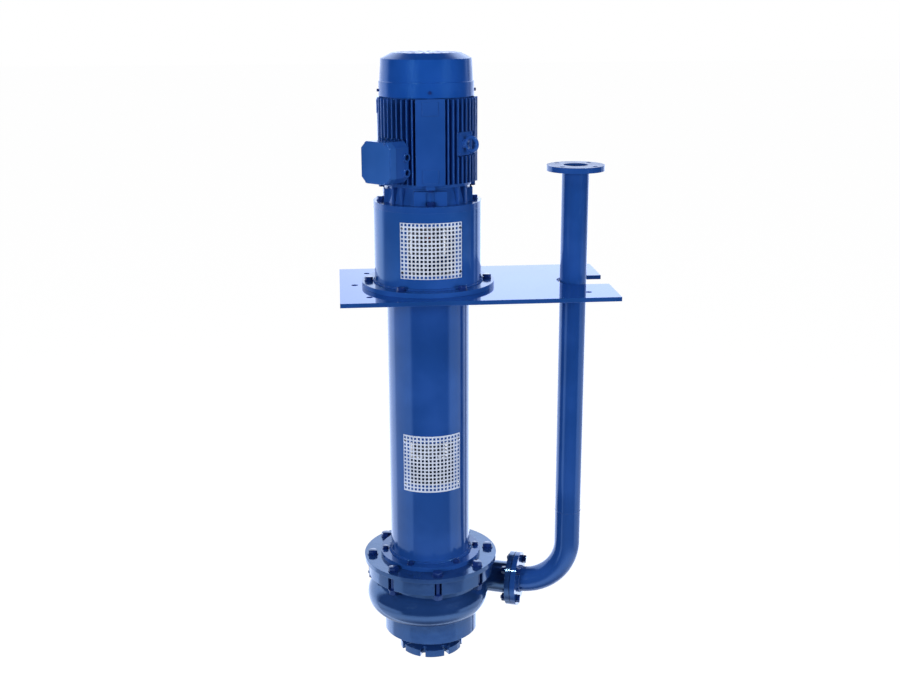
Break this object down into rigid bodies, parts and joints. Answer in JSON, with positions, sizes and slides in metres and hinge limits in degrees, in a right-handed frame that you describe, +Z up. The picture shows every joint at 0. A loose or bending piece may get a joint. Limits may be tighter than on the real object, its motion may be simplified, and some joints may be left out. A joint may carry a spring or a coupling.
{
  "type": "vertical sump pump",
  "caption": "Vertical sump pump hung from a slotted plate: finned flange motor, stool and column with perforated guards, volute casing, elbow and riser.",
  "frame": {"origin": "on the pump shaft's axis, in the plane of the mounting plate's underside, from which the pump hangs", "axes": "+Z up along the shaft towards the motor, +X towards the riser pipe, -Y towards the guarded front"},
  "size_m": [0.884, 0.52, 2.061],
  "materials": {
    "blue_enamel": "glossy enamel on rolled and welded steel",
    "plate_enamel": "very glossy enamel on flat plate",
    "casing_enamel": "glossy enamel on machined and sand cast iron",
    "motor_enamel": "semi-gloss enamel on cast parts",
    "cowl_enamel": "semi-gloss enamel on pressed sheet",
    "navy_enamel": "enamel brushed over fasteners, darker in the recesses",
    "stainless_sheet": "bright rolled stainless sheet",
    "bright_screw_steel": "bright zinc",
    "bearing_steel": "ground and polished",
    "shaft_steel": "ground",
    "hub_steel": "turned",
    "screw_steel": "plain",
    "bronze": "cast, machined on the fits",
    "brass_studs": "turned",
    "copper_wire": "varnished winding",
    "lamination_steel": "stacked sheet, matt",
    "gasket_rubber": "matt",
    "spider_rubber": "satin",
    "packing_yarn": "greased braid",
    "moulded_board": "matt moulding",
    "fan_plastic": "matt moulding"
  },
  "bodies": {
    "frame": {"mounting_plate": "plate_enamel", "motor_stool": "blue_enamel", "stool_guards": "stainless_sheet", "stool_guard_screws": "bright_screw_steel", "stool_bolts": "navy_enamel", "column": "blue_enamel", "column_guards": "stainless_sheet", "column_guard_screws": "bright_screw_steel", "column_flange_bolts": "navy_enamel", "casing_cover": "casing_enamel", "cover_gasket": "gasket_rubber", "cover_bolts": "navy_enamel", "volute_casing": "casing_enamel", "wear_ring": "bronze", "discharge_gasket": "gasket_rubber", "discharge_bolts": "navy_enamel", "discharge_elbow": "blue_enamel", "riser_pipe": "blue_enamel", "drive_end_shield": "motor_enamel", "motor_flange_bolts": "navy_enamel", "motor_frame": "motor_enamel", "stator_core": "lamination_steel", "stator_windings": "copper_wire", "fan_end_shield": "motor_enamel", "shield_screws": "navy_enamel", "fan_cowl": "cowl_enamel", "cowl_screws": "navy_enamel", "motor_bearing_outer_rings": "bearing_steel", "terminal_box": "motor_enamel", "terminal_box_lid": "motor_enamel", "terminal_lid_screws": "motor_enamel", "terminal_board": "moulded_board", "terminal_studs": "brass_studs", "lifting_eyebolt": "motor_enamel", "bearing_housing": "blue_enamel", "bearing_housing_screws": "screw_steel", "bearing_cover": "blue_enamel", "pump_bearing_outer_rings": "bearing_steel", "tail_bearing_housing": "casing_enamel", "packing_rings": "packing_yarn", "gland_follower": "bronze", "gland_studs": "screw_steel"},
    "motor_rotor": {"motor_shaft": "shaft_steel", "rotor_core": "lamination_steel", "cooling_fan": "fan_plastic", "motor_bearing_inner_rings": "bearing_steel", "coupling_upper_hub": "hub_steel", "coupling_spider": "spider_rubber"},
    "pump_rotor": {"coupling_lower_hub": "hub_steel", "drive_shaft": "shaft_steel", "muff_coupling": "hub_steel", "muff_screws": "screw_steel", "pump_shaft": "shaft_steel", "pump_bearing_inner_rings": "bearing_steel", "bearing_lock_nut": "screw_steel", "shaft_sleeve": "shaft_steel", "impeller": "bronze", "impeller_nut": "screw_steel"}
  },
  "joints": [
    {"name": "motor_shaft_spin", "type": "hinge", "parent": "frame", "child": "motor_rotor", "pos_m": [0, 0, 0.3105], "axis": [0, 0, 1], "continuous": true},
    {"name": "pump_shaft_spin", "type": "hinge", "parent": "frame", "child": "pump_rotor", "pos_m": [0, 0, -0.0245], "axis": [0, 0, 1], "continuous": true}
  ],
  "couplings": [
    {"joint": "pump_shaft_spin", "follows": "motor_shaft_spin", "ratio": 1}
  ]
}
